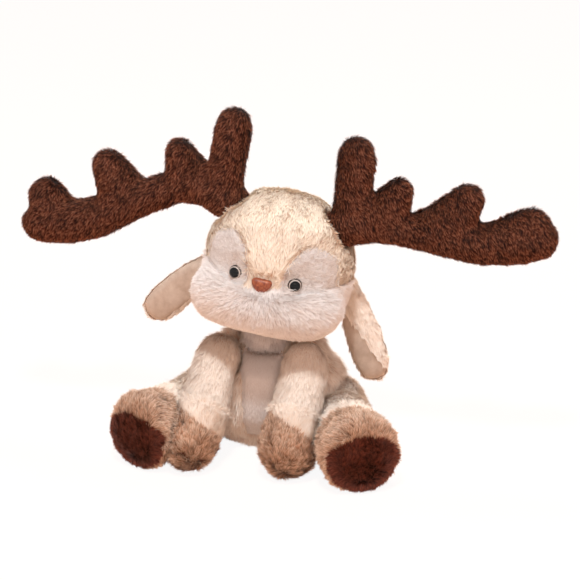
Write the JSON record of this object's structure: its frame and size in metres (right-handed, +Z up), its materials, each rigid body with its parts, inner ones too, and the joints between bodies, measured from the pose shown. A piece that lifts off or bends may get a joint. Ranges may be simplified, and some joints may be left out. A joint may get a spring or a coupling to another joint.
{
  "type": "plush deer",
  "caption": "Sitting plush deer toy with broad padded antlers, drooping ears, a puffed white muzzle and four stuffed legs.",
  "frame": {"origin": "centre of the flat seat under the torso, on the surface that the toy sits on", "axes": "the toy faces -Y, its own left is +X, and +Z is up"},
  "size_m": [0.5437, 0.2174, 0.3419],
  "materials": {
    "cream_pile": "long soft pile",
    "white_pile": "long soft pile",
    "stuffing": "loose fibre fill",
    "eye": "polished",
    "washer": "moulded",
    "nose": "satin",
    "brown_pile": "short dense pile",
    "ear_lining": "smooth short nap",
    "tan_pile": "long soft pile",
    "dark_brown_pile": "short dense pile"
  },
  "bodies": {
    "torso": {"torso_cover": "cream_pile", "belly_panel": "white_pile", "torso_stuffing": "stuffing"},
    "neck": {"neck_core": "cream_pile"},
    "head": {"head_cover": "cream_pile", "head_stuffing": "stuffing", "muzzle_panel": "white_pile", "eye_patch_left": "white_pile", "eye_patch_right": "white_pile", "eye_left": "eye", "eye_right": "eye", "eye_washer_left": "washer", "eye_washer_right": "washer", "nose": "nose", "nose_washer": "washer"},
    "tail": {"tail": "cream_pile"},
    "antler_left": {"antler_left": "brown_pile", "antler_stuffing_left": "stuffing"},
    "ear_left": {"ear_outer_left": "cream_pile", "ear_inner_left": "ear_lining"},
    "front_leg_left": {"front_leg_left": "cream_pile", "front_paw_left": "tan_pile", "front_leg_stuffing_left": "stuffing"},
    "hind_leg_left": {"hind_leg_left": "cream_pile", "hind_foot_left": "tan_pile", "hind_sole_left": "dark_brown_pile", "hind_leg_stuffing_left": "stuffing"},
    "antler_right": {"antler_right": "brown_pile", "antler_stuffing_right": "stuffing"},
    "ear_right": {"ear_outer_right": "cream_pile", "ear_inner_right": "ear_lining"},
    "front_leg_right": {"front_leg_right": "cream_pile", "front_paw_right": "tan_pile", "front_leg_stuffing_right": "stuffing"},
    "hind_leg_right": {"hind_leg_right": "cream_pile", "hind_foot_right": "tan_pile", "hind_sole_right": "dark_brown_pile", "hind_leg_stuffing_right": "stuffing"}
  },
  "joints": [
    {"name": "neck_turn", "type": "hinge", "parent": "torso", "child": "neck", "pos_m": [0, -0.00854, 0.11834], "axis": [0, 0, 1], "range_deg": [-20, 20], "stiffness_Nm_per_rad": 1},
    {"name": "neck_nod", "type": "hinge", "parent": "neck", "child": "head", "pos_m": [0, -0.00854, 0.11834], "axis": [0.9892, -0.0086, -0.1461], "range_deg": [-10, 10], "stiffness_Nm_per_rad": 2.5},
    {"name": "antler_flex_left", "type": "hinge", "parent": "head", "child": "antler_left", "pos_m": [0.0686, -0.01072, 0.2284], "axis": [-0.0011, -0.9987, 0.0518], "range_deg": [-6, 6], "stiffness_Nm_per_rad": 1.5},
    {"name": "ear_flap_left", "type": "hinge", "parent": "head", "child": "ear_left", "pos_m": [0.07291, 0.01463, 0.16493], "axis": [-0.0011, -0.9987, 0.0518], "range_deg": [0, 40]},
    {"name": "front_leg_lift_left", "type": "hinge", "parent": "torso", "child": "front_leg_left", "pos_m": [0.04266, -0.04148, 0.0976], "axis": [-1, 0, 0], "range_deg": [0, 30]},
    {"name": "hind_leg_splay_left", "type": "hinge", "parent": "torso", "child": "hind_leg_left", "pos_m": [0.05893, -0.00244, 0.0368], "axis": [0, 0, 1], "range_deg": [0, 20], "stiffness_Nm_per_rad": 0.3},
    {"name": "antler_flex_right", "type": "hinge", "parent": "head", "child": "antler_right", "pos_m": [-0.03389, -0.00982, 0.24353], "axis": [0.0011, 0.9987, -0.0518], "range_deg": [-6, 6], "stiffness_Nm_per_rad": 1.5},
    {"name": "ear_flap_right", "type": "hinge", "parent": "head", "child": "ear_right", "pos_m": [-0.05593, 0.01575, 0.18396], "axis": [0.0011, 0.9987, -0.0518], "range_deg": [0, 40]},
    {"name": "front_leg_lift_right", "type": "hinge", "parent": "torso", "child": "front_leg_right", "pos_m": [-0.04266, -0.04148, 0.0976], "axis": [-1, 0, 0], "range_deg": [0, 30]},
    {"name": "hind_leg_splay_right", "type": "hinge", "parent": "torso", "child": "hind_leg_right", "pos_m": [-0.05893, -0.00244, 0.0368], "axis": [0, 0, -1], "range_deg": [0, 20], "stiffness_Nm_per_rad": 0.3},
    {"name": "tail_wag", "type": "hinge", "parent": "torso", "child": "tail", "pos_m": [0, 0.06039, 0.0366], "axis": [0, 0, 1], "range_deg": [-20, 20], "stiffness_Nm_per_rad": 0.05}
  ]
}
